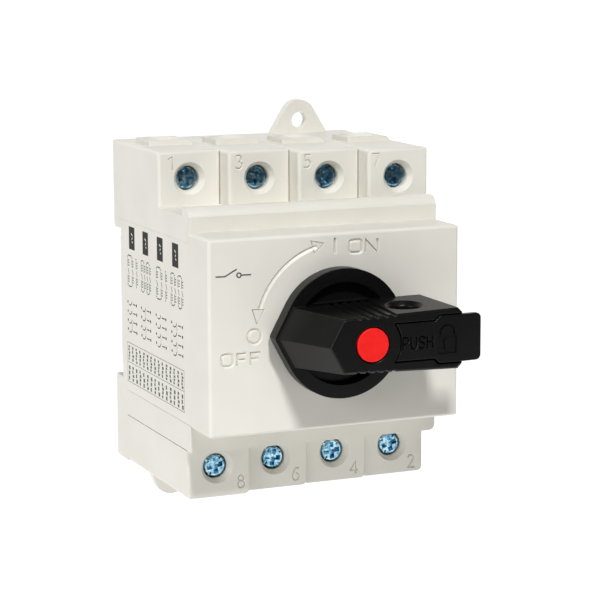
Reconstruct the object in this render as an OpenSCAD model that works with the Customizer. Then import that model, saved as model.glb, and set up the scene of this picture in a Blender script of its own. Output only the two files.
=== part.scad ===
// Four-pole rotary DC isolator switch for a 35 mm rail or for two panel screws.
// Frame: X to the right, -Y to the front, +Z up. The origin lies on the face that bears
// on the rail, on the handle's axis. A depth is a distance in front of the flat back.

/* [Housing] */
// Width of one pole
pole_pitch = 15.5; // [14:0.5:20]
// Height of the housing above the handle axis
body_top = 39; // [38:0.5:46]
// Depth of the housing below the handle axis
body_bottom = 39.8; // [39:0.2:46]
// Depth of the housing behind the front cover
shoulder_depth = 53.3; // [52.5:0.1:60]
// Radius on the visible moulded edges
edge_r = 0.9; // [0.3:0.1:1.2]
// Height of the seam above the handle axis
upper_seam = 20.2; // [19:0.1:21]
// Height of the seam below the handle axis
lower_seam = 22; // [21:0.1:22.4]
// Thickness of the rear part behind the lower terminals
rear_depth = 8.4; // [7.5:0.1:10]

/* [Front cover] */
// Height of the raised front
cover_h = 45; // [44:0.5:46]
// Thickness of the raised front
cover_depth = 11.9; // [8:0.1:16]

/* [Rail seat] */
// Width of the rail
rail_w = 35; // [34.6:0.1:35.4]
// Depth of the slot for the rail
rail_slot_depth = 4.9; // [4.5:0.1:6]
// Play of the rail in its slot
rail_play = 0.2; // [0.1:0.05:0.4]
// Depth of the relief behind the hooks, beside the face that bears on the rail
rail_relief = 0.5; // [0.3:0.1:1]
// Room below the rail for the stroke of the clip
clip_room = 1.7; // [1.4:0.1:2.2]
// Height by which each hook reaches behind the rail
hook_reach = 1.3; // [0.8:0.1:1.8]
// Thickness of the hooks
hook_t = 3.4; // [2.8:0.1:3.6]
// Width of each hook
hook_w = 16; // [12:0.5:18]
// Sideways place of the hooks
hook_x = 16; // [14:0.5:19]
// Width of the rail clip
clip_w = 16; // [12:0.5:20]
// Gap between the clip and its channel
clip_gap = 0.25; // [0.1:0.05:0.4]
// Length by which the clip's tab stands below the housing
clip_tab = 3.2; // [2:0.1:6]

/* [Mounting ears] */
// Sideways place of the ears
ear_x = 17.7; // [14:0.1:20]
// Thickness of an ear
ear_t = 2.7; // [1.5:0.1:3]
// Height of the upper ear's tip above the housing
upper_ear_h = 8.3; // [8:0.1:14]
// Height of the lower ear's tip below the housing
lower_ear_h = 11.2; // [8:0.1:16]
// Radius of an ear's tip
ear_r = 4.3; // [3.8:0.1:5]
// Half width of the upper ear at its root
upper_ear_half = 7.5; // [6:0.1:9]
// Half width of the lower ear at its root
lower_ear_half = 8.6; // [7:0.1:9]
// Radius of the screw hole in an ear
ear_hole_r = 2.05; // [1.6:0.05:2.6]
// Distance from the centre of an ear's tip back to its hole
hole_drop = 0.8; // [0:0.1:1.5]

/* [Terminals] */
// Depth of the first upper terminal's face
upper_first_depth = 33.2; // [32:0.1:36]
// Step from one upper terminal's face to the next
upper_step_depth = 5.2; // [4:0.1:5.2]
// Depth of the first lower terminal's face
lower_first_depth = 50.5; // [46:0.1:52]
// Step back from the first lower terminal's face to the second
lower_first_step_depth = 2.3; // [1:0.1:3]
// Step back from each further lower terminal's face to the next
lower_step_depth = 0.8; // [0.2:0.1:1.5]
// Distance by which the lower clamps lie left of the pole's middle
lower_shift = 0.4; // [0:0.1:1]
// Height of the shelf in front of the upper terminals
shelf_z = 26; // [25:0.1:26.5]
// Height of the rounded lip in front of the shelf
lip_h = 2; // [1:0.1:3]
// Radius of the lip's front
lip_r = 2.8; // [2:0.1:3.2]
// Depth below the axis at which the lower terminals start
lower_shelf_z = 28.4; // [28:0.1:29]
// Height of the upper screws above the handle axis
upper_screw_z = 32.4; // [32:0.1:33]
// Depth of the lower screws below the handle axis
lower_screw_z = 32.8; // [32.6:0.1:33.6]
// Distance from a terminal's face back to its wire entry, at the first one of a row
entry_setback = 19.1; // [18.5:0.1:20]
// Step from one upper wire entry to the next
upper_entry_step = 4; // [3.8:0.1:5.2]
// Radius of a wire entry
entry_r = 3.7; // [2.5:0.1:4]
// Width of the bevel at the mouth of a wire entry
entry_bevel = 0.8; // [0.3:0.1:0.9]
// Height of the collar round a wire entry
collar_h = 1.2; // [0.8:0.1:2]
// Width of the collar's top
collar_w = 10.2; // [9:0.1:11]
// Width that the collar gains towards its foot, on its right
collar_slant = 1.1; // [0.4:0.1:1.6]
// Depth of the collar, front to back
collar_d = 11; // [9:0.1:12]

/* [Clamps] */
// Width of a clamp
clamp_w = 9; // [8.4:0.1:10]
// Depth of a clamp, front to back
clamp_d = 9.4; // [9:0.1:10]
// Height of a clamp
clamp_h = 6.8; // [6:0.1:7]
// Wall of a clamp
clamp_wall = 1.3; // [0.8:0.1:1.4]
// Gap all round a clamp in its pocket
clamp_gap = 0.3; // [0.1:0.05:0.4]
// Radius of a screw's head
head_r = 2.6; // [2.4:0.1:3]
// Thickness of a screw's head
head_t = 2.6; // [1.6:0.1:3.4]
// Gap round a screw's head
head_gap = 0.35; // [0.1:0.05:0.4]
// Depth of an upper screw's head in its hole
upper_head_recess = 2.4; // [1.4:0.1:3]
// Depth of a lower screw's head in its hole
lower_head_recess = 1.5; // [1.4:0.1:3]
// Radius of a screw's shank
shank_r = 1.9; // [1.5:0.1:2.2]
// Gap round a screw's shank
screw_gap = 0.15; // [0.05:0.05:0.3]
// Width of the bevel at the mouth of a screw hole
mouth_bevel = 0.95; // [0.2:0.05:1.2]
// Depth of that bevel
mouth_depth = 1.4; // [0.4:0.1:1.8]

/* [Handle] */
// Radius of the handle's disc
disc_r = 14.9; // [14.5:0.1:18]
// Thickness of the disc
disc_t = 3.5; // [3:0.1:5]
// Gap between the front cover and the disc
disc_gap = 1; // [0.6:0.1:2]
// Distance from the axis to the tip of the disc's beak
beak_reach = 16.8; // [16.6:0.1:18]
// Radius of the beak's tip
beak_r = 1.2; // [0.6:0.1:3]
// Radius of the dish in the disc
dish_r = 11.7; // [11:0.1:13]
// Depth of the dish
dish_depth = 2.2; // [1:0.1:2.4]
// Height of the grip above the disc
grip_h = 15.3; // [14:0.1:20]
// Half width of the grip's front at the pointer
grip_half = 6.1; // [5.8:0.1:7.5]
// Half width of the grip's front at the other end
grip_end_half = 6.95; // [6.6:0.05:8]
// Half width that the grip gains towards the disc
grip_draft = 0.85; // [0.4:0.05:1.2]
// Distance from the axis to the grip's outer end
grip_reach = 22; // [21:0.1:26]
// Distance from the axis to the pointer's tip at the disc
pointer_reach = 16.3; // [15:0.1:16.6]
// Length of the pointer's point
point_len = 3.4; // [3:0.1:6]
// Distance by which the pointer leans back
pointer_lean = 6; // [4:0.1:7]
// Distance by which the grip's other end leans back
end_lean = 2.2; // [1:0.1:3]
// Width of the bevel round the grip's front
grip_bevel = 0.4; // [0.2:0.05:0.8]
// Number of grooves on each side of the grip
grooves = 5; // [3:1:6]
// Distance between two grooves
groove_pitch = 2.15; // [1.8:0.05:2.6]
// Distance from the axis to the middle groove, towards the lock plate
groove_x = 1; // [0:0.1:1.5]
// Radius of a groove
groove_r = 0.5; // [0.3:0.05:0.7]
// Radius of the round cap on the axis
cap_r = 3.8; // [3:0.1:4]
// Thickness of the cap
cap_t = 2; // [1:0.1:2.6]
// Height of the cap above the grip
cap_rise = 0.2; // [0:0.05:0.6]
// Radius of the shaft
shaft_r = 4; // [3:0.1:4.5]
// Gap between the shaft and its bearing
shaft_gap = 0.08; // [0.04:0.01:0.1]
// Length of the shaft inside the handle
shaft_grip = 6; // [4:0.1:8]
// Length of the shaft behind the front cover
shaft_tail = 6; // [4:0.1:10]

/* [Lock plate] */
// Thickness of the lock plate
plate_t = 1.7; // [1.2:0.1:2]
// Travel of the plate when pressed
plate_travel = 1.2; // [0.8:0.1:1.4]
// Gap between the plate and its pocket
plate_gap = 0.3; // [0.2:0.05:0.4]
// Half width of the plate's inner part
plate_half = 4.2; // [3.8:0.1:4.6]
// Half width of the plate's outer part
plate_end_half = 5.35; // [4.8:0.05:5.4]
// Distance from the axis to the plate's inner end
plate_start = 5.6; // [5.2:0.1:6.2]
// Distance from the axis to the plate's shoulder
plate_shoulder = 15.2; // [14:0.1:16]
// Distance from the axis to the hollow in the plate's inner end
plate_hollow_r = 7; // [6:0.1:7]
// Length of the plate's tab past the grip
tab_len = 4.8; // [3:0.1:7]
// Radius of the tab's corners
tab_r = 1.2; // [0.5:0.1:2]
// Distance by which the tab's front slopes back at its end
tab_slope = 0.4; // [0:0.1:0.8]
// Radius of the stem that guides the plate
stem_r = 1.5; // [1:0.1:1.8]
// Distance from the axis to the stem
stem_x = 18.6; // [18:0.1:19.4]
// Length of the stem
stem_len = 7; // [5:0.1:9]
// Radius of the hole for a padlock
lock_hole_r = 3.55; // [2.5:0.05:3.6]
// Distance from the axis to the padlock hole
lock_hole_x = 10.9; // [9.5:0.1:12]
// Distance from the disc's front to the padlock hole
lock_hole_h = 8.1; // [7.2:0.1:8.2]
// Width of the bevel round the padlock hole
lock_bevel = 0.75; // [0.3:0.05:1]

/* [Hidden] */
$fn = 48;

ivory = [0.86, 0.85, 0.8];
black = [0.12, 0.12, 0.12];
zinc = [0.55, 0.66, 0.76];
steel = [0.7, 0.72, 0.74];
cap_red = [0.9, 0.1, 0.09];

poles = 4;
body_w = poles * pole_pitch;
half_w = body_w / 2;
half_cover = cover_h / 2;
back_r = 1.6;
back_corner_r = 0.5;
slot_top = rail_w / 2 + rail_play;
slot_bottom = rail_w / 2 + clip_room;
hook_z = rail_w / 2 - hook_reach;
clip_t = hook_t;
front_depth = shoulder_depth + cover_depth;
// The flat back stands behind the face that bears on the rail
back_y = rail_slot_depth;
upper_names = ["1", "3", "5", "7"];
lower_names = ["8", "6", "4", "2"];
// Overrun of a cut past the face that it opens
cut = 1;
// Step between two housing parts at a seam
seam_step = 0.1;
// Play round the shaft inside the housing
shaft_room = 0.4;

function pole_x(i) = -half_w + pole_pitch * (i + 0.5);
function upper_face(i) = upper_first_depth + upper_step_depth * i;
function lower_face(i) = lower_first_depth
    - (i > 0 ? lower_first_step_depth + lower_step_depth * (i - 1) : 0);
// Middle of a terminal's clamp; up is 1 for the upper row and -1 for the lower one
function clamp_x(i, up) = pole_x(i) - (up > 0 ? 0 : lower_shift);
// Depth of a wire entry
function entry_depth(i, up) =
    (up > 0 ? upper_face(0) + upper_entry_step * i : lower_face(i)) - entry_setback;
// Height of a row's screws
function screw_height(up) = up > 0 ? upper_screw_z : -lower_screw_z;

// ---- Shared shapes ----

// Box between two widths, two depths and two heights
module slab(x, t, z) {
    translate([x[0], back_y - t[1], z[0]]) cube([x[1] - x[0], t[1] - t[0], z[1] - z[0]]);
}

// Square corner with its tip at the origin, hollowed by an arc of radius r
module corner_waste(r, turn) {
    rotate(turn) difference() {
        translate([-cut, -cut]) square(r + cut);
        translate([r, r]) circle(r);
        translate([r, -2 * cut]) square([2 * r, r + 3 * cut]);
        translate([-2 * cut, r]) square([r + 3 * cut, 2 * r]);
    }
}

// Rectangle with its own radius at each corner: low left, low right, high right, high left
module rounded_rect(lo, hi, r) {
    corner = [lo, [hi[0], lo[1]], hi, [lo[0], hi[1]]];
    difference() {
        translate(lo) square(hi - lo);
        for (k = [0:3]) if (r[k] > 0) translate(corner[k]) corner_waste(r[k], 90 * k);
    }
}

// Outline seen from the right, with depth to the left, swept across the width
module side_sweep(x) {
    translate([x[0], back_y, 0]) rotate([90, 0, 90]) linear_extrude(x[1] - x[0]) children();
}

// Outline seen from the front, swept from one depth to another
module front_sweep(t) {
    translate([0, back_y - t[0], 0]) rotate([90, 0, 0]) linear_extrude(t[1] - t[0]) children();
}

// Outline seen from above, swept from one height to another
module plan_sweep(z) {
    translate([0, back_y, z[0]]) linear_extrude(z[1] - z[0]) children();
}

// Round bar along the depth
module bar_y(x, z, t, r) {
    translate([x, back_y - t[0], z]) rotate([90, 0, 0]) cylinder(h = t[1] - t[0], r = r);
}

// Cone along the depth, from radius r[0] at depth t[0] to r[1] at t[1]
module cone_y(x, z, t, r) {
    translate([x, back_y - t[0], z]) rotate([90, 0, 0])
        cylinder(h = t[1] - t[0], r1 = r[0], r2 = r[1]);
}

// ---- Mounting ears ----

// Ear of the given half width at its root, from there to its tip at tip_z
module ear(x, root_half, root_z, tip_z) {
    dir = sign(tip_z - root_z);
    mid_z = tip_z - dir * ear_r;
    difference() {
        front_sweep([0, ear_t]) hull() {
            translate([x, mid_z]) circle(ear_r);
            translate([x - root_half, root_z - dir * ear_t / 2]) square([2 * root_half, ear_t / 2]);
        }
        bar_y(x, mid_z - dir * hole_drop, [-cut, ear_t + cut], ear_hole_r);
    }
}

// ---- Housing ----

// Waste that rounds the two upright back corners
module back_corner_waste(z) {
    plan_sweep([z[0] - cut, z[1] + cut]) {
        translate([half_w, 0]) corner_waste(back_corner_r, 180);
        translate([-half_w, 0]) corner_waste(back_corner_r, 270);
    }
}

module rear_housing() {
    seat_half = hook_z - rail_play;
    root = 1;
    color(ivory) difference() {
        union() {
            slab([-half_w, half_w], [0, shoulder_depth], [-lower_seam, upper_seam]);
            side_sweep([-half_w, half_w])
                rounded_rect([-rear_depth, -body_bottom], [0, root - lower_seam], [0, back_r, 0, 0]);
            ear(-ear_x, lower_ear_half, -body_bottom + back_r, -body_bottom - lower_ear_h);
        }
        back_corner_waste([-body_bottom, upper_seam]);
        slab([-half_w - cut, half_w + cut], [-cut, rail_slot_depth], [-slot_bottom, slot_top]);
        side_sweep([-half_w - cut, half_w + cut]) translate([0, slot_top]) corner_waste(back_r, 90);
        for (z = [[-slot_bottom, -seat_half], [seat_half, slot_top]])
            slab([-half_w - cut, half_w + cut], [-cut, rail_slot_depth + rail_relief], z);
        slab([-clip_w / 2 - clip_gap, clip_w / 2 + clip_gap], [-cut, clip_t + clip_gap],
            [-body_bottom - cut, cut - slot_bottom]);
        bar_y(0, 0, [shoulder_depth - shaft_tail - cut, shoulder_depth + cut], shaft_r + shaft_room);
    }
    color(ivory) for (s = [-1, 1])
        slab([s * hook_x - hook_w / 2, s * hook_x + hook_w / 2], [0, hook_t], [hook_z, slot_top + root]);
}

// Shelf in front of the upper terminals, with its rounded lip
module upper_housing() {
    lip_top = shelf_z + lip_h;
    lip_back = upper_face(poles - 1);
    color(ivory) difference() {
        side_sweep([-half_w, half_w]) {
            translate([-shoulder_depth, upper_seam]) square([shoulder_depth, shelf_z - upper_seam]);
            rounded_rect([-shoulder_depth, shelf_z - lip_r], [-lip_back, lip_top],
                [0, 0, edge_r, lip_r]);
        }
        back_corner_waste([upper_seam, lip_top]);
    }
}

// Wall behind the upper terminals, with its ear
module upper_back() {
    color(ivory) {
        difference() {
            slab([-half_w, half_w], [0, ear_t], [shelf_z, body_top]);
            back_corner_waste([shelf_z, body_top]);
        }
        ear(ear_x, upper_ear_half, body_top, body_top + upper_ear_h);
    }
}

module lower_housing() {
    foot_r = 1.4;
    color(ivory) front_sweep([rear_depth, shoulder_depth - seam_step])
        rounded_rect([-half_w, -lower_shelf_z], [half_w, -lower_seam], [edge_r / 2, foot_r, 0, 0]);
}

module front_cover() {
    color(ivory) difference() {
        intersection() {
            front_sweep([shoulder_depth, front_depth])
                rounded_rect([-half_w, -half_cover], [half_w, half_cover], [1, 1, 1, 1] * edge_r);
            plan_sweep([-half_cover, half_cover])
                rounded_rect([-half_w, -front_depth], [half_w, -shoulder_depth], [edge_r, edge_r, 0, 0]);
            side_sweep([-half_w, half_w])
                rounded_rect([-front_depth, -half_cover], [-shoulder_depth, half_cover],
                    [edge_r, 0, 0, edge_r]);
        }
        bar_y(0, 0, [shoulder_depth - cut, front_depth + cut], shaft_r + shaft_gap);
    }
}

// ---- Rail clip ----

module rail_clip() {
    slot_w = 8;
    slot_h = 1.6;
    slot_rim = 1.2;
    tab_bottom = -body_bottom - clip_tab;
    tip_z = -hook_z;
    lead_in = 0.8;
    color(ivory) difference() {
        slab([-clip_w / 2, clip_w / 2], [0, clip_t], [tab_bottom, tip_z]);
        slab([-slot_w / 2, slot_w / 2], [-cut, clip_t + cut],
            [tab_bottom + slot_rim, tab_bottom + slot_rim + slot_h]);
        side_sweep([-clip_w / 2 - cut, clip_w / 2 + cut]) polygon([
            [-clip_t - cut, tip_z + cut],
            [-clip_t - cut, tip_z - lead_in],
            [-clip_t, tip_z - lead_in],
            [lead_in - clip_t, tip_z],
            [lead_in - clip_t, tip_z + cut]
        ]);
    }
}

// ---- Terminals ----

// Pocket, wire entry and screw hole of one terminal
module terminal_hollow(i, face, up) {
    x = clamp_x(i, up);
    t = entry_depth(i, up);
    z = screw_height(up);
    half = [clamp_w / 2, clamp_d / 2, clamp_h / 2] + [1, 1, 1] * clamp_gap;
    hole_r = head_r + head_gap;
    rim_z = (up > 0 ? body_top : -body_bottom) + up * collar_h;
    end_z = rim_z + up * cut;
    slab([x - half[0], x + half[0]], [t - half[1], t + half[1]], [z - half[2], z + half[2]]);
    translate([x, back_y - t + clamp_wall / 2, min(z, end_z)])
        cylinder(h = abs(end_z - z), r = entry_r);
    translate([x, back_y - t + clamp_wall / 2, rim_z]) rotate([90 - up * 90, 0, 0])
        translate([0, 0, -entry_bevel])
            cylinder(h = entry_bevel + cut, r1 = entry_r, r2 = entry_r + entry_bevel + cut);
    bar_y(x, z, [t, face + cut], hole_r);
    cone_y(x, z, [face - mouth_depth, face + cut],
        [hole_r, hole_r + mouth_bevel * (mouth_depth + cut) / mouth_depth]);
}

// Raised rim round a wire entry, with a slanted right side
module collar(i, up) {
    x = clamp_x(i, up);
    t = entry_depth(i, up);
    foot_z = up > 0 ? body_top : -body_bottom;
    left = x - collar_w / 2;
    right = x + collar_w / 2;
    corner_r = 0.4;
    intersection() {
        front_sweep([t - collar_d / 2, t + collar_d / 2]) polygon([
            [left, foot_z - up * collar_h],
            [right + collar_slant, foot_z - up * collar_h],
            [right + collar_slant, foot_z],
            [right, foot_z + up * collar_h],
            [left, foot_z + up * collar_h]
        ]);
        plan_sweep([foot_z - collar_h, foot_z + collar_h])
            rounded_rect([left, -t - collar_d / 2], [right + collar_slant, -t + collar_d / 2],
                [corner_r, corner_r, 2 * edge_r, 2 * edge_r]);
    }
}

module upper_terminal(i) {
    face = upper_face(i);
    x0 = -half_w + pole_pitch * i;
    color(ivory) difference() {
        union() {
            intersection() {
                plan_sweep([shelf_z, body_top])
                    rounded_rect([x0, -face], [x0 + pole_pitch, -ear_t], [edge_r, edge_r, 0, 0]);
                side_sweep([x0, x0 + pole_pitch])
                    rounded_rect([-face, shelf_z], [-ear_t, body_top], [0, 0, 0, edge_r]);
                front_sweep([ear_t, face])
                    rounded_rect([x0, shelf_z], [x0 + pole_pitch, body_top], [0, 0, edge_r, edge_r]);
            }
            collar(i, 1);
        }
        terminal_hollow(i, face, 1);
    }
}

module lower_terminal(i) {
    face = lower_face(i);
    x0 = -half_w + pole_pitch * i;
    left_r = i == 0 ? edge_r : edge_r / 3;
    foot_r = 1.4;
    color(ivory) difference() {
        union() {
            intersection() {
                front_sweep([rear_depth, face])
                    rounded_rect([x0, -body_bottom], [x0 + pole_pitch, -lower_shelf_z],
                        [left_r, foot_r, 0, 0]);
                plan_sweep([-body_bottom, -lower_shelf_z])
                    rounded_rect([x0, -face], [x0 + pole_pitch, -rear_depth],
                        [left_r, edge_r / 2, 0, 0]);
            }
            collar(i, -1);
        }
        terminal_hollow(i, face, -1);
    }
}

// ---- Clamps and screws ----

module clamp(i, up) {
    x = clamp_x(i, up);
    t = entry_depth(i, up);
    z = screw_height(up);
    w = clamp_w / 2;
    d = clamp_d / 2;
    h = clamp_h / 2;
    wall = clamp_wall;
    color(steel) difference() {
        slab([x - w, x + w], [t - d, t + d], [z - h, z + h]);
        slab([x - w + wall, x + w - wall], [t - d + wall, t + d - 2 * wall], [z - h - cut, z + h + cut]);
        bar_y(x, z, [t, t + d + cut], shank_r + screw_gap);
    }
}

module screw(i, face, up) {
    x = clamp_x(i, up);
    z = screw_height(up);
    head_front = face - (up > 0 ? upper_head_recess : lower_head_recess);
    shank_end = entry_depth(i, up) + clamp_d / 2 - 2 * clamp_wall;
    color(zinc) {
        bar_y(x, z, [head_front - head_t, head_front], head_r);
        bar_y(x, z, [shank_end, head_front - head_t / 2], shank_r);
    }
}

// ---- Handle ----

disc_back = front_depth + disc_gap;
disc_front = disc_back + disc_t;
grip_front = disc_front + grip_h;
plate_back = grip_front - plate_t;
pocket_floor = plate_back - plate_travel - plate_gap;

// The sides and the point keep their directions from layer to layer, so every face is flat
front_start = pointer_lean - pointer_reach;
side_slope = (grip_end_half - grip_half) / (grip_reach - front_start - point_len);
point_slope = point_len / grip_half;

// Half width of the grip's front at a distance x from the axis
function side_at(x) = grip_half + side_slope * (x - front_start - point_len);
// Half width where the point that starts at x meets the sides, on a grip wider by grow
function point_half(x, grow) = (side_at(x) + grow) / (1 - side_slope * point_slope);

// Outline of the grip from its point at start to its end at reach, wider by grow on each side
module grip_outline(start, reach, grow) {
    half = point_half(start, grow);
    nose = start + point_slope * half;
    bevel = 1.1;
    end = side_at(reach - bevel) + grow;
    polygon([
        [start, 0],
        [nose, -half],
        [reach - bevel, -end],
        [reach, bevel - end],
        [reach, end - bevel],
        [reach - bevel, end],
        [nose, half]
    ]);
}

module grip_foot() {
    grip_outline(-pointer_reach, grip_reach - end_lean, grip_draft);
}

module grip() {
    skin = 0.01;
    b = grip_bevel;
    hull() {
        front_sweep([disc_front, disc_front + skin]) grip_foot();
        front_sweep([grip_front - b - skin, grip_front - b]) grip_outline(front_start, grip_reach, 0);
        front_sweep([grip_front - skin, grip_front])
            grip_outline(front_start + b, grip_reach - b, -b);
    }
}

// Round groove that follows the draft of the grip's side
module groove(x, side) {
    lean = atan2(grip_draft, grip_h);
    translate([x, back_y - disc_front, side * (side_at(x) + grip_draft)])
        rotate([90 + side * lean, 0, 0])
            translate([0, 0, -cut]) cylinder(h = grip_h + 2 * cut, r = groove_r, $fn = 24);
}

// Disc with a beak behind the pointer, whose sides touch both round bars
module disc() {
    $fn = 96;
    span = beak_reach - beak_r;
    touch = acos((disc_r - beak_r) / span);
    difference() {
        union() {
            bar_y(0, 0, [disc_back, disc_front], disc_r);
            bar_y(-span, 0, [disc_back, disc_front], beak_r);
            front_sweep([disc_back, disc_front]) polygon([
                for (c = [[0, disc_r, -1], [span, beak_r, -1], [span, beak_r, 1], [0, disc_r, 1]])
                    [-c[0] - c[1] * cos(touch), c[2] * c[1] * sin(touch)]
            ]);
        }
        bar_y(0, 0, [disc_front - dish_depth, disc_front + cut], dish_r);
    }
}

// Outline of the lock plate with its hollow inner end, wider by grow on each side
module plate_outline(grow) {
    inner = plate_start - grow;
    a = plate_half + grow;
    b = plate_end_half + grow;
    slope = plate_end_half - plate_half;
    reach = grip_reach + tab_len + (grow > 0 ? cut : 0);
    corner = grow > 0 ? 0 : tab_r;
    difference() {
        intersection() {
            polygon([
                [inner, -a],
                [plate_shoulder - grow, -a],
                [plate_shoulder - grow + slope, -b],
                [reach, -b],
                [reach, b],
                [plate_shoulder - grow + slope, b],
                [plate_shoulder - grow, a],
                [inner, a]
            ]);
            rounded_rect([inner, -b], [reach, b], [0, corner, corner, 0]);
        }
        circle(plate_hollow_r - grow);
    }
}

module handle() {
    axis_gap = 0.05;
    cap_gap = 0.3;
    stem_gap = 0.15;
    rim_seat = 0.5;
    // Half width of the grip where the padlock hole leaves it
    side_half = side_at(lock_hole_x) + grip_draft * (1 - lock_hole_h / grip_h);
    color(black) difference() {
        union() {
            disc();
            grip();
            intersection() {
                bar_y(0, 0, [disc_front - 1.5 * dish_depth, disc_front], dish_r + rim_seat);
                front_sweep([disc_front - dish_depth - cut, disc_front + cut]) grip_foot();
            }
        }
        front_sweep([pocket_floor, grip_front + cut]) plate_outline(plate_gap);
        bar_y(0, 0, [grip_front + cap_rise - cap_t, grip_front + cut], cap_r + cap_gap);
        bar_y(0, 0, [disc_back - cut, disc_back + shaft_grip], shaft_r + axis_gap);
        bar_y(stem_x, 0, [plate_back - stem_len - plate_travel - plate_gap, pocket_floor + cut],
            stem_r + stem_gap);
        translate([lock_hole_x, back_y - disc_front - lock_hole_h, 0]) {
            translate([0, 0, -grip_end_half - cut])
                cylinder(h = 2 * (grip_end_half + cut), r = lock_hole_r);
            for (s = [0, 1]) mirror([0, 0, s]) translate([0, 0, side_half - lock_bevel])
                cylinder(h = 2 * lock_bevel, r1 = lock_hole_r, r2 = lock_hole_r + 2 * lock_bevel);
        }
        for (k = [0:grooves - 1], side = [-1, 1])
            groove(groove_x + groove_pitch * (k - (grooves - 1) / 2), side);
    }
}

module shaft() {
    color(steel)
        bar_y(0, 0, [shoulder_depth - shaft_tail, disc_back + shaft_grip], shaft_r);
}

module indicator_cap() {
    color(cap_red) bar_y(0, 0, [grip_front + cap_rise - cap_t, grip_front + cap_rise], cap_r);
}

module lock_plate() {
    tab_end = grip_reach + tab_len;
    color(black) {
        difference() {
            front_sweep([plate_back, grip_front]) plate_outline(0);
            plan_sweep([-plate_end_half - cut, plate_end_half + cut]) polygon([
                [grip_reach, -grip_front],
                [tab_end + cut, tab_slope * (1 + cut / tab_len) - grip_front],
                [tab_end + cut, -grip_front - cut],
                [grip_reach, -grip_front - cut]
            ]);
        }
        bar_y(stem_x, 0, [plate_back - stem_len, plate_back + plate_t / 2], stem_r);
    }
}

// ---- Assembly ----

rear_housing();
upper_housing();
upper_back();
lower_housing();
front_cover();
rail_clip();
for (i = [0:poles - 1]) {
    upper_terminal(i);
    lower_terminal(i);
    clamp(i, 1);
    clamp(i, -1);
    screw(i, upper_face(i), 1);
    screw(i, lower_face(i), -1);
}
handle();
shaft();
indicator_cap();
lock_plate();
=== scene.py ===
import math

import bpy
from mathutils import Matrix, Vector


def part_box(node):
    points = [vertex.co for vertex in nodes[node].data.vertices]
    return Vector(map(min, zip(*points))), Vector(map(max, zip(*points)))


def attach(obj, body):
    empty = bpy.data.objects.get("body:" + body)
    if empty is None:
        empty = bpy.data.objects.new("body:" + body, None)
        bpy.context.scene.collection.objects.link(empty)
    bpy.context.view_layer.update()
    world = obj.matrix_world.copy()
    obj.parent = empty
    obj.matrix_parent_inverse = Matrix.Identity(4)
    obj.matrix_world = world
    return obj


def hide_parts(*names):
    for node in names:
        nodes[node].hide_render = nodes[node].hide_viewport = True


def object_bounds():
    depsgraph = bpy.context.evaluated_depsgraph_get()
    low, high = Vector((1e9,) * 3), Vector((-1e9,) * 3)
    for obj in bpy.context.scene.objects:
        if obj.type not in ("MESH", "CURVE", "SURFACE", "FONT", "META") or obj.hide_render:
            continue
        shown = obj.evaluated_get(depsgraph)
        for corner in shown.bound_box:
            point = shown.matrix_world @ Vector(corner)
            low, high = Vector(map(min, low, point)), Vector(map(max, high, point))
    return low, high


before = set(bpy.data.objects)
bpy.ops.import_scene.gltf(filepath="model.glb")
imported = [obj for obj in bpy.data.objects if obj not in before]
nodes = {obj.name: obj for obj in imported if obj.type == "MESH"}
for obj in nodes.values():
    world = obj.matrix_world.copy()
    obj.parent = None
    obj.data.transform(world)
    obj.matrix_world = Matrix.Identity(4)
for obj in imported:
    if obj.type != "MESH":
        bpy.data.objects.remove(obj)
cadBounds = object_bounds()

mm = 0.001
upright = Matrix.Rotation(math.radians(90), 4, "X")      # stands a flat drawing up, facing the front
upperRow = ["1", "3", "5", "7"]
lowerRow = ["8", "6", "4", "2"]


# a few helpers for selecting, copying and finishing
def deselectAll():
    if bpy.context.mode != "OBJECT":
        bpy.ops.object.mode_set(mode="OBJECT")
    bpy.ops.object.select_all(action="DESELECT")


def pick(piece):
    deselectAll()
    piece.select_set(True)
    bpy.context.view_layer.objects.active = piece


def startEdit(piece):
    pick(piece)
    bpy.ops.object.mode_set(mode="EDIT")
    bpy.ops.mesh.select_all(action="SELECT")


def applyModifier(piece, kind, settings):
    pick(piece)
    modifier = piece.modifiers.new(kind.title(), kind)
    for name, value in settings.items():
        setattr(modifier, name, value)
    bpy.ops.object.modifier_apply(modifier=modifier.name)


def cleanMesh(piece):
    # loose triangles become whole faces again
    startEdit(piece)
    bpy.ops.mesh.remove_doubles(threshold=0.002 * mm)
    bpy.ops.mesh.dissolve_limited(angle_limit=math.radians(0.6))
    bpy.ops.object.mode_set(mode="OBJECT")


def boolean(piece, tool, operation, selfCross=False):
    applyModifier(piece, "BOOLEAN", {
        "operation": operation,
        "solver": "EXACT",
        "use_self": selfCross,
        "material_mode": "TRANSFER",
        "object": tool,
    })
    bpy.data.objects.remove(tool)


def copyNodes(pieceName, nodeNames, material):
    copies = []
    for nodeName in nodeNames:
        copied = bpy.data.objects.new(pieceName, nodes[nodeName].data.copy())
        bpy.context.scene.collection.objects.link(copied)
        pick(copied)
        bpy.ops.mesh.customdata_custom_splitnormals_clear()
        cleanMesh(copied)
        copied.data.materials.clear()
        copied.data.materials.append(material)
        copies.append(copied)
    piece = copies[0]
    for other in copies[1:]:
        boolean(piece, other, "UNION")
    if len(copies) > 1:
        cleanMesh(piece)
    return piece


def softenEdges(piece, width, segments=2):
    applyModifier(piece, "BEVEL", {
        "width": width * mm,
        "segments": segments,
        "limit_method": "ANGLE",
        "angle_limit": math.radians(28),
        "use_clamp_overlap": False,
        "miter_outer": "MITER_SHARP",
    })


def keepInside(piece, nodeNames):
    # no corner stands outside the box of the CAD nodes
    boxes = [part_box(nodeName) for nodeName in nodeNames]
    for axis in range(3):
        low = min(box[0][axis] for box in boxes)
        high = max(box[1][axis] for box in boxes)
        for corner in piece.data.vertices:
            corner.co[axis] = min(max(corner.co[axis], low), high)


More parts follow.
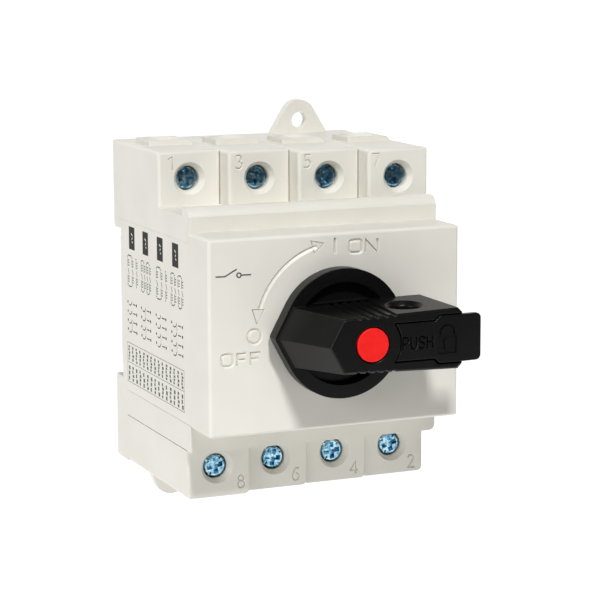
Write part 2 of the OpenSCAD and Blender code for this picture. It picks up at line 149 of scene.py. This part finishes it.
def smoothFaces(piece):
    pick(piece)
    bpy.ops.object.shade_smooth_by_angle(angle=math.radians(32))
    applyModifier(piece, "WEIGHTED_NORMAL", {"mode": "FACE_AREA", "keep_sharp": True, "weight": 60})


def finishPiece(piece, body, replaced):
    keepInside(piece, replaced)
    smoothFaces(piece)
    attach(piece, body)
    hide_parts(*replaced)


# materials
def startMaterial(name, roughness, metallic=0.0):
    material = bpy.data.materials.new(name)
    material.use_nodes = True
    tree = material.node_tree
    shader = tree.nodes["Principled BSDF"]
    shader.inputs["Roughness"].default_value = roughness
    shader.inputs["Metallic"].default_value = metallic
    coords = tree.nodes.new("ShaderNodeTexCoord")
    return material, tree, shader, coords.outputs["Object"]


def addNoise(tree, coords, size, detail=2.0):
    noise = tree.nodes.new("ShaderNodeTexNoise")
    noise.inputs["Scale"].default_value = 1.0 / (size * mm)
    noise.inputs["Detail"].default_value = detail
    tree.links.new(coords, noise.inputs["Vector"])
    return noise.outputs["Fac"]


def addRamp(tree, value, low, high, start=0.35, stop=0.65):
    ramp = tree.nodes.new("ShaderNodeValToRGB")
    ramp.color_ramp.elements[0].position = start
    ramp.color_ramp.elements[0].color = (*low, 1)
    ramp.color_ramp.elements[1].position = stop
    ramp.color_ramp.elements[1].color = (*high, 1)
    tree.links.new(value, ramp.inputs["Fac"])
    return ramp.outputs["Color"]


def addBump(tree, shader, height, depth, strength):
    bump = tree.nodes.new("ShaderNodeBump")
    bump.inputs["Distance"].default_value = depth * mm
    bump.inputs["Strength"].default_value = strength
    tree.links.new(height, bump.inputs["Height"])
    tree.links.new(bump.outputs["Normal"], shader.inputs["Normal"])


def makeFinish(name, setup):
    # patches of two colours over the piece, and a fine grain in its skin
    material, tree, shader, coords = startMaterial(name, setup["roughness"], setup.get("metallic", 0.0))
    shader.inputs["Specular IOR Level"].default_value = setup["specular"]
    patches = addNoise(tree, coords, *setup["patch"])
    tree.links.new(addRamp(tree, patches, setup["dark"], setup["light"]), shader.inputs["Base Color"])
    if "grain" in setup:
        grain = addNoise(tree, coords, *setup["grain"])
        addBump(tree, shader, grain, setup["grainDepth"], setup["grainStrength"])
    return material


# a patch and a grain each have their size in mm and their detail
ivory = makeFinish("ivoryPlastic", {
    "roughness": 0.42,
    "specular": 0.35,
    "light": (0.765, 0.745, 0.680),
    "dark": (0.735, 0.714, 0.648),
    "patch": (14.0, 2.0),
    "grain": (0.35, 3.0),
    "grainDepth": 0.012,
    "grainStrength": 0.25,
})
black = makeFinish("blackPlastic", {
    "roughness": 0.33,
    "specular": 0.22,
    "light": (0.0055, 0.0055, 0.0053),
    "dark": (0.0035, 0.0035, 0.0035),
    "patch": (0.55, 4.0),
    "grain": (0.22, 3.0),
    "grainDepth": 0.012,
    "grainStrength": 0.3,
})
red = makeFinish("redPlastic", {
    "roughness": 0.42,
    "specular": 0.2,
    "light": (0.88, 0.016, 0.014),
    "dark": (0.82, 0.013, 0.011),
    "patch": (1.5, 2.0),
    "grain": (0.3, 2.0),
    "grainDepth": 0.01,
    "grainStrength": 0.2,
})
# the near-white patches in the zinc's colour are painted glints, laid over the coating's real uneven blue
zinc = makeFinish("blueZincPaintedGlints", {
    "roughness": 0.24,
    "metallic": 1.0,
    "specular": 0.5,
    "light": (0.58, 0.86, 1.0),
    "dark": (0.06, 0.25, 0.40),
    "patch": (0.9, 3.0),
    "grain": (0.3, 3.0),
    "grainDepth": 0.03,
    "grainStrength": 0.5,
})
steel = makeFinish("plainSteel", {
    "roughness": 0.32,
    "metallic": 1.0,
    "specular": 0.5,
    "light": (0.66, 0.67, 0.68),
    "dark": (0.50, 0.51, 0.53),
    "patch": (1.2, 3.0),
    "grain": (0.2, 3.0),
    "grainDepth": 0.01,
    "grainStrength": 0.3,
})
ink = makeFinish("blackInk", {
    "roughness": 0.6,
    "specular": 0.2,
    "light": (0.016, 0.016, 0.018),
    "dark": (0.009, 0.009, 0.011),
    "patch": (0.3, 2.0),
})
greyInk = makeFinish("greyInk", {
    "roughness": 0.6,
    "specular": 0.2,
    "light": (0.115, 0.112, 0.105),
    "dark": (0.085, 0.083, 0.078),
    "patch": (0.3, 2.0),
})
print("materials done")


# camera, floor and light
cameraSetup = {
    "target": (6.083, -25.1, 1.153),      # mm
    "turn": 23.12,                        # degrees to the left of the front
    "height": 9.59,
    "roll": -0.185,
    "distance": 542.33,
    "lens": 134.337,
    "sensor": 36.0,
}


def placeCamera():
    setup = cameraSetup
    turn = math.radians(setup["turn"])
    height = math.radians(setup["height"])
    flat = math.cos(height)
    back = Vector((-math.sin(turn) * flat, -math.cos(turn) * flat, math.sin(height)))
    bpy.ops.object.camera_add(location=(Vector(setup["target"]) + back * setup["distance"]) * mm)
    camera = bpy.context.object
    camera.name = "photoCamera"
    aim = back.to_track_quat("Z", "Y").to_matrix() @ Matrix.Rotation(math.radians(setup["roll"]), 3, "Z")
    camera.rotation_euler = aim.to_euler()
    camera.data.sensor_width = setup["sensor"]
    camera.data.lens = setup["lens"]
    bpy.context.scene.camera = camera


floorSetup = {
    "front": -0.22,      # metres from the handle's axis
    "wallAt": 1.1,
    "width": 4.0,
    "wallHeight": 1.6,
    "curve": 0.5,
    "curveSteps": 12,
    "colour": (0.20, 0.20, 0.199),
    "darker": 0.99,      # share of the colour that is left in its dark patches
    "patch": 400.0,      # mm
    "roughness": 0.7,
    "glow": 0.92,
}


def placeFloor():
    setup = floorSetup
    low = cadBounds[0]
    depth = setup["wallAt"] - setup["front"]
    middle = (setup["wallAt"] + setup["front"]) / 2
    deselectAll()
    bpy.ops.mesh.primitive_plane_add(size=1.0, location=(0, middle, low.z))
    floor = bpy.context.object
    floor.name = "paleFloor"
    startEdit(floor)
    bpy.ops.transform.resize(value=(setup["width"], depth, 1))
    bpy.ops.mesh.select_mode(type="EDGE")
    bpy.ops.mesh.select_all(action="DESELECT")
    bpy.ops.object.mode_set(mode="OBJECT")
    for edge in floor.data.edges:
        edge.select = all(floor.data.vertices[k].co.y > 0 for k in edge.vertices)
    bpy.ops.object.mode_set(mode="EDIT")
    bpy.ops.mesh.extrude_region_move(TRANSFORM_OT_translate={"value": (0, 0, setup["wallHeight"])})
    bpy.ops.mesh.select_mode(type="VERT")
    bpy.ops.object.mode_set(mode="OBJECT")
    bpy.ops.object.transform_apply(location=True, rotation=True, scale=True)
    applyModifier(floor, "BEVEL", {
        "width": setup["curve"],
        "segments": setup["curveSteps"],
        "limit_method": "ANGLE",
    })
    bpy.ops.object.shade_smooth()
    material, tree, shader, coords = startMaterial("paleFloorPaint", setup["roughness"])
    patches = addNoise(tree, coords, setup["patch"])
    darker = tuple(setup["darker"] * c for c in setup["colour"])
    tree.links.new(addRamp(tree, patches, darker, setup["colour"]), shader.inputs["Base Color"])
    shader.inputs["Emission Color"].default_value = (1, 1, 1, 1)
    shader.inputs["Emission Strength"].default_value = setup["glow"]
    floor.data.materials.append(material)


lightSetup = {
    "left": {"place": (-1.18, -0.40, 0.38), "size": 0.60, "power": 6.2},
    "front": {"place": (-0.050, -0.577, 0.622), "size": 0.09, "power": 5.6},
}
lightAim = (0, -0.03, 0)
worldGlow = 0.05


def placeLights():
    for name, setup in lightSetup.items():
        bpy.ops.object.light_add(type="AREA", location=setup["place"])
        lamp = bpy.context.object
        lamp.name = name + "Light"
        lamp.data.size = setup["size"]
        lamp.data.energy = setup["power"]
        toward = Vector(lightAim) - Vector(setup["place"])
        lamp.rotation_euler = toward.to_track_quat("-Z", "Y").to_euler()
    world = bpy.data.worlds.new("paleWorld")
    world.use_nodes = True
    world.node_tree.nodes["Background"].inputs["Color"].default_value = (1, 1, 1, 1)
    world.node_tree.nodes["Background"].inputs["Strength"].default_value = worldGlow
    bpy.context.scene.world = world
    bpy.context.scene.view_settings.view_transform = "Standard"


placeCamera()
placeFloor()
placeLights()
print("camera, floor and light done")


# shapes that cut marks into a face: (right, up) on the face in mm, pressed in by depth
onFront = Matrix.Translation((0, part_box("front_cover")[0].y, 0)) @ upright
onSide = (Matrix.Translation((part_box("rear_housing")[0].x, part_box("rear_housing")[1].y, 0))
          @ Matrix.Rotation(math.radians(-90), 4, "Z") @ upright)


def drawPath(points):
    # one corner is pulled out from point to point
    deselectAll()
    bpy.ops.mesh.primitive_plane_add(size=0.1 * mm)
    path = bpy.context.object
    bpy.ops.object.mode_set(mode="EDIT")
    bpy.ops.mesh.merge(type="CENTER")
    start = Vector((*points[0], 0)) * mm
    bpy.ops.transform.translate(value=start)
    for point in points[1:]:
        stop = Vector((*point, 0)) * mm
        bpy.ops.mesh.extrude_region_move(TRANSFORM_OT_translate={"value": stop - start})
        start = stop
    bpy.ops.mesh.select_all(action="SELECT")
    bpy.ops.mesh.remove_doubles(threshold=0.001 * mm)
    return path


def lineTool(points, width, roundness=0):
    # a line with a four-sided section cuts a groove with sloping walls
    bar = drawPath(points)
    bpy.ops.object.mode_set(mode="OBJECT")
    bpy.ops.object.convert(target="CURVE")
    bar.data.bevel_depth = width / 2 * mm
    bar.data.bevel_resolution = roundness
    bar.data.use_fill_caps = True
    bpy.ops.object.convert(target="MESH")
    return bpy.context.object


def shapeTool(points):
    # a closed path is filled and given a thickness
    shape = drawPath(points + points[:1])
    bpy.ops.mesh.edge_face_add()
    bpy.ops.mesh.extrude_region_move(TRANSFORM_OT_translate={"value": (0, 0, mm)})
    bpy.ops.mesh.select_all(action="SELECT")
    bpy.ops.transform.translate(value=(0, 0, -0.5 * mm))
    bpy.ops.mesh.normals_make_consistent(inside=False)
    bpy.ops.object.mode_set(mode="OBJECT")
    return shape


def boxTool(corner, size):
    deselectAll()
    bpy.ops.mesh.primitive_cube_add(size=2 * mm)
    box = bpy.context.object
    box.scale = (size[0] / 2, size[1] / 2, 0.5)
    box.location = ((corner[0] + size[0] / 2) * mm, (corner[1] + size[1] / 2) * mm, 0)
    bpy.ops.object.transform_apply(location=True, rotation=False, scale=True)
    return box


def discTool(middle, radius, sides=32):
    deselectAll()
    bpy.ops.mesh.primitive_cylinder_add(vertices=sides, radius=radius * mm, depth=mm,
                                        location=(middle[0] * mm, middle[1] * mm, 0))
    bpy.ops.object.transform_apply(location=True, rotation=True, scale=True)
    return bpy.context.object


def slantTool(start, stop, width):
    # a straight flat bar from one point to another
    run = Vector(stop) - Vector(start)
    bar = boxTool((-run.length / 2, -width / 2), (run.length, width))
    bar.rotation_euler.z = math.atan2(run.y, run.x)
    bar.location = ((start[0] + stop[0]) / 2 * mm, (start[1] + stop[1]) / 2 * mm, 0)
    pick(bar)
    bpy.ops.object.transform_apply(location=True, rotation=True, scale=True)
    return bar


def joinTools(tools):
    # tools that stand apart become one object
    deselectAll()
    for tool in tools:
        tool.select_set(True)
    bpy.context.view_layer.objects.active = tools[0]
    bpy.ops.object.join()
    return tools[0]


def mergeTools(tools):
    # tools that cross each other become one solid
    if len(tools) > 1:
        boolean(tools[0], joinTools(tools[1:]), "UNION", True)
    return tools[0]


def press(piece, tool, place, depth, paint, selfCross=False):
    tool.data.materials.clear()
    tool.data.materials.append(paint)
    for face in tool.data.polygons:
        face.material_index = 0
    half = max(c[2] for c in tool.bound_box)
    tool.matrix_world = place @ Matrix.Scale(depth * mm / half, 4, (0, 0, 1))
    boolean(piece, tool, "DIFFERENCE", selfCross)


def arcPoints(middle, radius, start, stop, steps):
    turns = [math.radians(start + (stop - start) * k / steps) for k in range(steps + 1)]
    return [(middle[0] + radius * math.cos(a), middle[1] + radius * math.sin(a)) for a in turns]


def roundedBox(low, high, radius):
    points = []
    for x, y, turn in ((high[0] - radius, high[1] - radius, 0), (low[0] + radius, high[1] - radius, 90),
                       (low[0] + radius, low[1] + radius, 180), (high[0] - radius, low[1] + radius, 270)):
        points += arcPoints((x, y), radius, turn, turn + 90, 3)
    return points + points[:1]


# body shell: the middle of the housing and the cover are one moulding
shellSetup = {
    "bevel": 0.16,
    "letterWidth": 0.92,
    "letterDepth": 0.50,
    "arrowMiddle": (0.25, 0.22),
    "arrowRadius": 19.9,
    "arrowTurn": (104.5, 162.5),
    "arrowWidth": 1.05,
    "arrowDepth": 0.40,
    "arrowSteps": 40,
    "headWidth": 0.62,
    "headDepth": 0.36,
    "inkWidth": 0.34,
    "inkDepth": 0.02,
}
shell = copyNodes("bodyShell", ["rear_housing", "front_cover"], ivory)
softenEdges(shell, shellSetup["bevel"])
# I, O and N beside the arrow's top, O, F and F at its foot, and the ring above them
letters = [
    [(-0.23, 17.5), (-0.22, 21.2)],
    roundedBox((3.28, 17.53), (6.37, 20.35), 0.7),
    [(7.35, 17.42), (7.35, 20.42), (10.3, 17.45), (10.3, 20.45)],
    roundedBox((-27.9, -6.24), (-25.25, -3.58), 0.7),
    [(-24.15, -6.38), (-24.15, -3.63), (-21.96, -3.63)],
    [(-24.15, -5.0), (-22.3, -5.0)],
    [(-20.9, -6.3), (-20.9, -3.66), (-18.62, -3.66)],
    [(-20.9, -4.95), (-19.0, -4.95)],
    arcPoints((-20.01, 0.02), 1.61, 0, 360, 28),
]
arrowLine = arcPoints(shellSetup["arrowMiddle"], shellSetup["arrowRadius"], *shellSetup["arrowTurn"],
                      shellSetup["arrowSteps"])
arrowHeads = [
    [(-19.43, 2.89), (-17.64, 5.96), (-20.49, 6.16), (-19.43, 2.89)],
    [(-2.98, 20.13), (-6.15, 20.79), (-5.42, 17.9), (-2.98, 20.13)],
]
switchSymbol = [
    [(-29.22, 14.12), (-27.02, 14.09), (-24.16, 15.59)],
    arcPoints((-23.66, 14.2), 0.5, 0, 360, 20),
    [(-23.18, 14.18), (-20.74, 14.17)],
]
press(shell, mergeTools([lineTool(line, shellSetup["letterWidth"]) for line in letters]),
      onFront, shellSetup["letterDepth"], ivory)
press(shell, lineTool(arrowLine, shellSetup["arrowWidth"]), onFront, shellSetup["arrowDepth"], ivory)
for head in arrowHeads:
    press(shell, lineTool(head, shellSetup["headWidth"]), onFront, shellSetup["headDepth"], ivory)
press(shell, mergeTools([lineTool(line, shellSetup["inkWidth"], 2) for line in switchSymbol]),
      onFront, shellSetup["inkDepth"], greyInk)


# side label: four columns of a heading, a wiring sketch and switch signs, then a table
labelSetup = {
    "heads": ((11.45, 15.6), (21.45, 25.4), (31.65, 35.7), (42.05, 46.2)),
    "headHeights": (13.5, 19.05),
    "sketches": ((9.9, 17.0), (19.8, 26.6), (30.6, 37.9), (40.6, 48.7)),
    "sketchHeights": (4.2, 12.0),
    "signs": ((9.65, 16.7), (19.7, 26.8), (30.2, 37.6), (40.9, 48.8)),
    "signHeights": (0.3, -1.95, -4.2, -6.4),
    "tableLow": (9.0, -19.6),
    "tableHigh": (49.2, -9.75),
    "tableColumns": 15,
    "tableMarks": 3,
    "markInset": 0.28,         # share of a column
    "markFoot": 0.5,
    "markRoom": 3.9,
    "markWidth": 0.85,
    "markShift": 0.12,
    "markFill": 0.74,
    "poles": 3,
    "linkPlace": 0.46,         # share of a sign's width
    "linkFoot": 0.65,
    "linkSpare": 1.1,
    "squiggle": (((-0.5, 3.9), (0.45, 3.4)), ((0.35, 3.0), (-0.05, 2.4)), ((0.1, 2.0), (0.6, 1.7))),
    "squiggleWidth": 0.34,
    "line": 0.28,
    "thinLine": 0.13,
    "depth": 0.02,
}
# a pole of a sketch: its heights are shares of the sketch's height, and its widths are in mm
poleSetup = {
    "inset": 0.3,
    "spare": 1.0,
    "contactFeet": (0.11, 0.62),
    "contactTall": 0.26,
    "bars": 3,
    "barFoot": 0.03,
    "barStep": 0.08,
    "barSize": (0.62, 0.30),
    "bladeFoot": (0.95, 0.40),
    "bladeTop": (0.3, 0.57),
    "pegHeights": (0.065, 0.935),
    "pegRadius": 0.24,
    "pegSides": 10,
    "bracketInset": 0.45,
    "bracketSpare": 0.7,
}
# a switch sign: its places and lengths along the depth are shares of its width
signSetup = {
    "leftPeg": (0.35, 0, 0.36),        # inset, rise and radius in mm
    "rightPeg": (0.4, -0.15, 0.40),
    "pegSides": 12,
    "bladeMiddle": 0.27,
    "bladeRise": 0.75,
    "bladeReach": 0.22,
    "bladeTurn": (240, 345),
    "bladeSteps": 8,
    "barPlace": 0.58,
    "barLength": 0.26,
    "barRise": -0.30,
}


def frameBars(low, high, line):
    across = high[0] - low[0]
    tall = high[1] - low[1]
    return [
        boxTool(low, (across, line)),
        boxTool((low[0], high[1] - line), (across, line)),
        boxTool((low[0], low[1] + line / 2), (line, tall - line)),
        boxTool((high[0] - line, low[1] + line / 2), (line, tall - line)),
    ]


def sketchTools(low, high, poles, line):
    # poles side by side: two contacts and an open blade in each, with short bars beside them
    setup = poleSetup
    tools = []
    step = (high[0] - low[0] - setup["spare"]) / (poles - 1)
    tall = high[1] - low[1]
    for pole in range(poles):
        x = low[0] + setup["inset"] + pole * step
        for foot in setup["contactFeet"]:
            tools.append(boxTool((x, low[1] + foot * tall), (line, setup["contactTall"] * tall)))
            for bar in range(setup["bars"]):
                height = foot + setup["barFoot"] + setup["barStep"] * bar
                tools.append(boxTool((x + 2 * line, low[1] + height * tall), setup["barSize"]))
        ends = [(x + right, low[1] + up * tall) for right, up in (setup["bladeFoot"], setup["bladeTop"])]
        tools.append(slantTool(*ends, line))
        for height in setup["pegHeights"]:
            middle = (x + line / 2, low[1] + height * tall)
            tools.append(discTool(middle, setup["pegRadius"], setup["pegSides"]))
        # a bracket joins every other pole to the next
        if pole < poles - 1 and pole % 2 == 0:
            for y in (low[1], high[1] - line):
                tools.append(boxTool((x + setup["bracketInset"], y), (step - setup["bracketSpare"], line)))
    return tools


def signTools(left, right, y, line):
    # fixed contact, open blade and the other contact, along the depth
    setup = signSetup
    wide = right - left
    middle = (left + setup["bladeMiddle"] * wide, y + setup["bladeRise"])
    reach = setup["bladeReach"] * wide
    low, high = setup["bladeTurn"]
    steps = setup["bladeSteps"]
    blade = arcPoints(middle, reach, low, high, steps) + arcPoints(middle, reach - line, high, low, steps)
    leftInset, leftRise, leftRadius = setup["leftPeg"]
    rightInset, rightRise, rightRadius = setup["rightPeg"]
    return [
        discTool((left + leftInset, y + leftRise), leftRadius, setup["pegSides"]),
        shapeTool(blade),
        boxTool((left + setup["barPlace"] * wide, y + setup["barRise"]), (setup["barLength"] * wide, line)),
        discTool((right - rightInset, y + rightRise), rightRadius, setup["pegSides"]),
    ]


def headingTools(setup):
    foot, top = setup["headHeights"]
    return [boxTool((left, foot), (right - left, top - foot)) for left, right in setup["heads"]]


def diagramTools(setup):
    line = setup["line"]
    low, high = setup["sketchHeights"]
    rows = setup["signHeights"]
    tools = []
    for column, (left, right) in enumerate(setup["sketches"]):
        tools += sketchTools((left, low), (right, high), setup["poles"] + column % 2, line)
    for column, (left, right) in enumerate(setup["signs"]):
        for y in rows:
            tools += signTools(left, right, y, line)
        # links between the rows
        for upper, lower in ((0, 1), (2, 3)) if column % 2 else ((2, 3),):
            corner = (left + setup["linkPlace"] * (right - left), rows[lower] + setup["linkFoot"])
            tools.append(boxTool(corner, (0.5 * line, rows[upper] - rows[lower] - setup["linkSpare"])))
    return tools


def tableTools(setup):
    thin = setup["thinLine"]
    low = setup["tableLow"]
    high = setup["tableHigh"]
    middle = (low[1] + high[1]) / 2
    divider = boxTool((low[0] + thin / 2, middle - thin / 2), (high[0] - low[0] - thin, thin))
    tools = [mergeTools(frameBars(low, high, thin) + [divider])]
    step = (high[0] - low[0]) / setup["tableColumns"]
    for column in range(setup["tableColumns"]):
        x = low[0] + (column + setup["markInset"]) * step
        for row, foot in enumerate((low[1], middle)):
            marks = setup["tableMarks"] + (column + row) % 2 + row
            tall = setup["markRoom"] / marks
            for mark in range(marks):
                shift = setup["markShift"] * ((mark + column) % 3)
                corner = (x + shift, foot + setup["markFoot"] + tall * mark)
                tools.append(boxTool(corner, (setup["markWidth"] + shift, setup["markFill"] * tall)))
    return tools


press(shell, joinTools(headingTools(labelSetup) + diagramTools(labelSetup)), onSide, labelSetup["depth"], ink)
press(shell, joinTools(tableTools(labelSetup)), onSide, labelSetup["depth"], greyInk)
for headLeft, headRight in labelSetup["heads"]:
    middle = (headLeft + headRight) / 2
    foot = labelSetup["headHeights"][0]
    strokes = [slantTool((middle + startX, foot + startY), (middle + stopX, foot + stopY),
                         labelSetup["squiggleWidth"])
               for (startX, startY), (stopX, stopY) in labelSetup["squiggle"]]
    press(shell, joinTools(strokes), onSide, 2 * labelSetup["depth"], ivory)
finishPiece(shell, "housing", ["rear_housing", "front_cover"])
print("body shell done")


# the two terminal mouldings with a number pressed into each block, and the rail clip
mouldingSetup = {
    "digitWidth": 0.58,
    "digitDepth": 0.36,
    "clipBevel": 0.25,
}
# each number: distance from its block's left side, height of its foot, and its lines
digits = {
    "1": (2.48, 34.6, [[(0, 2.35), (1.1, 3.05), (1.1, 0)]]),
    "3": (1.75, 34.75, [
        [(0.05, 2.6), (0.45, 3.0), (1.0, 3.05), (1.5, 2.7), (1.55, 2.1), (1.2, 1.7), (0.7, 1.6)],
        [(0.7, 1.6), (1.3, 1.5), (1.75, 1.05), (1.65, 0.4), (1.15, 0), (0.5, 0.02), (0, 0.4)],
    ]),
    "5": (1.47, 34.8, [
        [(1.6, 3.05), (0.3, 3.05), (0.2, 1.7), (0.8, 1.85), (1.4, 1.6), (1.7, 1.0), (1.5, 0.35), (0.95, 0),
         (0.4, 0), (0, 0.3)],
    ]),
    "7": (1.15, 34.9, [[(0, 3.05), (1.8, 3.05), (0.6, 0)]]),
    "8": (12.49, -38.26, [arcPoints((0.9, 2.3), 0.68, 0, 360, 12), arcPoints((0.9, 0.8), 0.82, 0, 360, 14)]),
    "6": (11.79, -38.56, [
        [(1.6, 2.9), (1.0, 3.05), (0.35, 2.3), (0.05, 1.2), (0.2, 0.4), (0.8, 0), (1.4, 0.15), (1.75, 0.8),
         (1.5, 1.55), (0.9, 1.82)],
    ]),
    "4": (11.6, -38.69, [[(1.4, 0), (1.4, 3.05), (0, 0.85)], [(0, 0.85), (1.95, 0.85)]]),
    "2": (11.69, -38.83, [
        [(0.05, 2.45), (0.4, 2.95), (1.0, 3.1), (1.55, 2.75), (1.6, 2.15), (1.25, 1.5), (0, 0), (1.8, 0)],
    ]),
}


def pressDigits(moulding, row):
    for number in row:
        left, foot, lines = digits[number]
        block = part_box("terminal_" + number)[0]
        place = Matrix.Translation((block.x + left * mm, block.y, foot * mm)) @ upright
        strokes = [lineTool(line, mouldingSetup["digitWidth"]) for line in lines]
        press(moulding, mergeTools(strokes), place, mouldingSetup["digitDepth"], ivory)


upperNodes = ["upper_housing", "upper_back"] + ["terminal_" + number for number in upperRow]
upperShell = copyNodes("upperShell", upperNodes, ivory)
pressDigits(upperShell, upperRow)
finishPiece(upperShell, "housing", upperNodes)

lowerNodes = ["lower_housing"] + ["terminal_" + number for number in lowerRow]
lowerShell = copyNodes("lowerShell", lowerNodes, ivory)
pressDigits(lowerShell, lowerRow)
finishPiece(lowerShell, "housing", lowerNodes)

railClip = copyNodes("railClip", ["rail_clip"], ivory)
softenEdges(railClip, mouldingSetup["clipBevel"])
finishPiece(railClip, "housing", ["rail_clip"])
print("mouldings done")


# clamp screws with a wide cross recess and four notches in the rim between its arms
screwSetup = {
    "bevel": 0.45,
    "armWidth": 1.50,
    "armLength": 5.2,
    "armFoot": (0.50, 0.55),     # share of the length and width that is left at an arm's foot
    "recessDepth": 1.2,
    "notchWidth": 0.50,
    "notchReach": (1.80, 3.2),
    "notchDepth": 0.5,
    "turns": (8, -14, 21, 3, 12, -9, 5, 17),
}


def armTool(setup, turn):
    # a block that narrows towards its foot
    deselectAll()
    bpy.ops.mesh.primitive_cube_add(size=2 * mm)
    arm = bpy.context.object
    startEdit(arm)
    bpy.ops.transform.resize(value=(setup["armLength"] / 2, setup["armWidth"] / 2, setup["recessDepth"]))
    bpy.ops.mesh.select_all(action="DESELECT")
    bpy.ops.object.mode_set(mode="OBJECT")
    for face in arm.data.polygons:
        face.select = face.normal.z < -0.9
    bpy.ops.object.mode_set(mode="EDIT")
    bpy.ops.transform.resize(value=(*setup["armFoot"], 1))
    bpy.ops.object.mode_set(mode="OBJECT")
    arm.rotation_euler.z = math.radians(turn)
    bpy.ops.object.transform_apply(location=True, rotation=True, scale=True)
    return arm


def notchTool(setup, turn):
    near, far = setup["notchReach"]
    notch = boxTool((near, -setup["notchWidth"] / 2), (far - near, setup["notchWidth"]))
    notch.rotation_euler.z = math.radians(turn)
    bpy.ops.object.transform_apply(location=True, rotation=True, scale=True)
    return notch


def makeScrew(number, turn):
    setup = screwSetup
    nodeName = "screw_" + number
    low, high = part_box(nodeName)
    screw = copyNodes("clampScrew" + number, [nodeName], zinc)
    softenEdges(screw, setup["bevel"], 4)
    head = Matrix.Translation(((low.x + high.x) / 2, low.y, (low.z + high.z) / 2))
    place = head @ upright @ Matrix.Rotation(math.radians(turn), 4, "Z")
    # one arm or notch at a time, so that no tool crosses itself
    for armTurn in (0, 90):
        press(screw, armTool(setup, armTurn), place, setup["recessDepth"], zinc)
    for notchTurn in (45, 135, 225, 315):
        press(screw, notchTool(setup, notchTurn), place, setup["notchDepth"], zinc)
    finishPiece(screw, "housing", [nodeName])


for number, turn in zip(upperRow + lowerRow, screwSetup["turns"]):
    makeScrew(number, turn)
print("screws done")


# rotary handle, its red cap and the lock plate
handleSetup = {"bevel": 0.16, "capBevel": 0.3}
grip = copyNodes("rotaryHandle", ["handle"], black)
softenEdges(grip, handleSetup["bevel"], 3)
finishPiece(grip, "handle", ["handle"])
cap = copyNodes("redCap", ["indicator_cap"], red)
softenEdges(cap, handleSetup["capBevel"], 4)
finishPiece(cap, "handle", ["indicator_cap"])

plateSetup = {
    "bevel": 0.25,
    "letterWidth": 0.60,
    "letterDepth": 0.40,
    "letterStarts": (7.3, 9.3, 11.3, 13.3),
    "letterFoot": -1.65,
    "letterHeight": 2.65,
    "letterAcross": 1.35,
    "shackle": (18.1, 0.95, 2.0, 1.45),       # middle, foot, outer and inner radius
    "shackleRise": 0.5,
    "lockBody": (15.75, -3.3, 4.75, 3.95),
    "lockDepth": 0.35,
    "keyhole": (17.95, -0.65, 0.55),
    "keyholeFoot": -2.5,
    "keySlot": 0.55,                          # half its width, as a share of the keyhole's radius
}


def letterLines(setup):
    # P, U, S and H, drawn one beside the other
    tall = setup["letterHeight"]
    wide = setup["letterAcross"]
    shapes = [
        [[(0, 0), (0, tall), (0.7 * wide, tall), (wide, 0.8 * tall), (wide, 0.65 * tall),
          (0.7 * wide, 0.45 * tall), (0, 0.45 * tall)]],
        [[(0, tall), (0, 0.3 * tall), (0.3 * wide, 0), (0.7 * wide, 0), (wide, 0.3 * tall), (wide, tall)]],
        [[(wide, 0.84 * tall), (0.72 * wide, tall), (0.28 * wide, tall), (0, 0.8 * tall),
          (0.1 * wide, 0.6 * tall), (0.9 * wide, 0.4 * tall), (wide, 0.2 * tall), (0.72 * wide, 0),
          (0.28 * wide, 0), (0, 0.16 * tall)]],
        [[(0, 0), (0, tall)], [(wide, 0), (wide, tall)], [(0, tall / 2), (wide, tall / 2)]],
    ]
    lines = []
    for start, shape in zip(setup["letterStarts"], shapes):
        for line in shape:
            lines.append([(start + x, setup["letterFoot"] + y) for x, y in line])
    return lines


def makePlate():
    setup = plateSetup
    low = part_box("lock_plate")[0]
    plate = copyNodes("lockPlate", ["lock_plate"], black)
    softenEdges(plate, setup["bevel"], 3)
    place = Matrix.Translation((0, low.y, 0)) @ upright
    press(plate, joinTools([lineTool(line, setup["letterWidth"]) for line in letterLines(setup)]),
          place, setup["letterDepth"], black, True)
    # padlock: a sunk arch with a sunk body under it, round a keyhole that stays proud
    x, foot, outer, inner = setup["shackle"]
    middle = (x, foot + setup["shackleRise"])
    arch = [(x + outer, foot)] + arcPoints(middle, outer, 0, 180, 14) + [(x - outer, foot)]
    arch += [(x - inner, foot)] + arcPoints(middle, inner, 180, 0, 14) + [(x + inner, foot)]
    press(plate, shapeTool(arch), place, setup["lockDepth"], black, True)
    left, bottom, wide, tall = setup["lockBody"]
    keyX, keyY, radius = setup["keyhole"]
    keyFoot = setup["keyholeFoot"]
    slot = setup["keySlot"] * radius
    hole = arcPoints((keyX, keyY), radius, -50, 230, 14) + [(keyX - slot, keyFoot), (keyX + slot, keyFoot)]
    body = boxTool((left, bottom), (wide, tall))
    boolean(body, shapeTool(hole), "DIFFERENCE")
    press(plate, body, place, setup["lockDepth"], black, True)
    finishPiece(plate, "lock", ["lock_plate"])


makePlate()
print("handle done")


# the clamps and the shaft keep their CAD shape
for nodeName, node in nodes.items():
    node.data.materials.clear()
    node.data.materials.append(steel)
print("node finishes done")
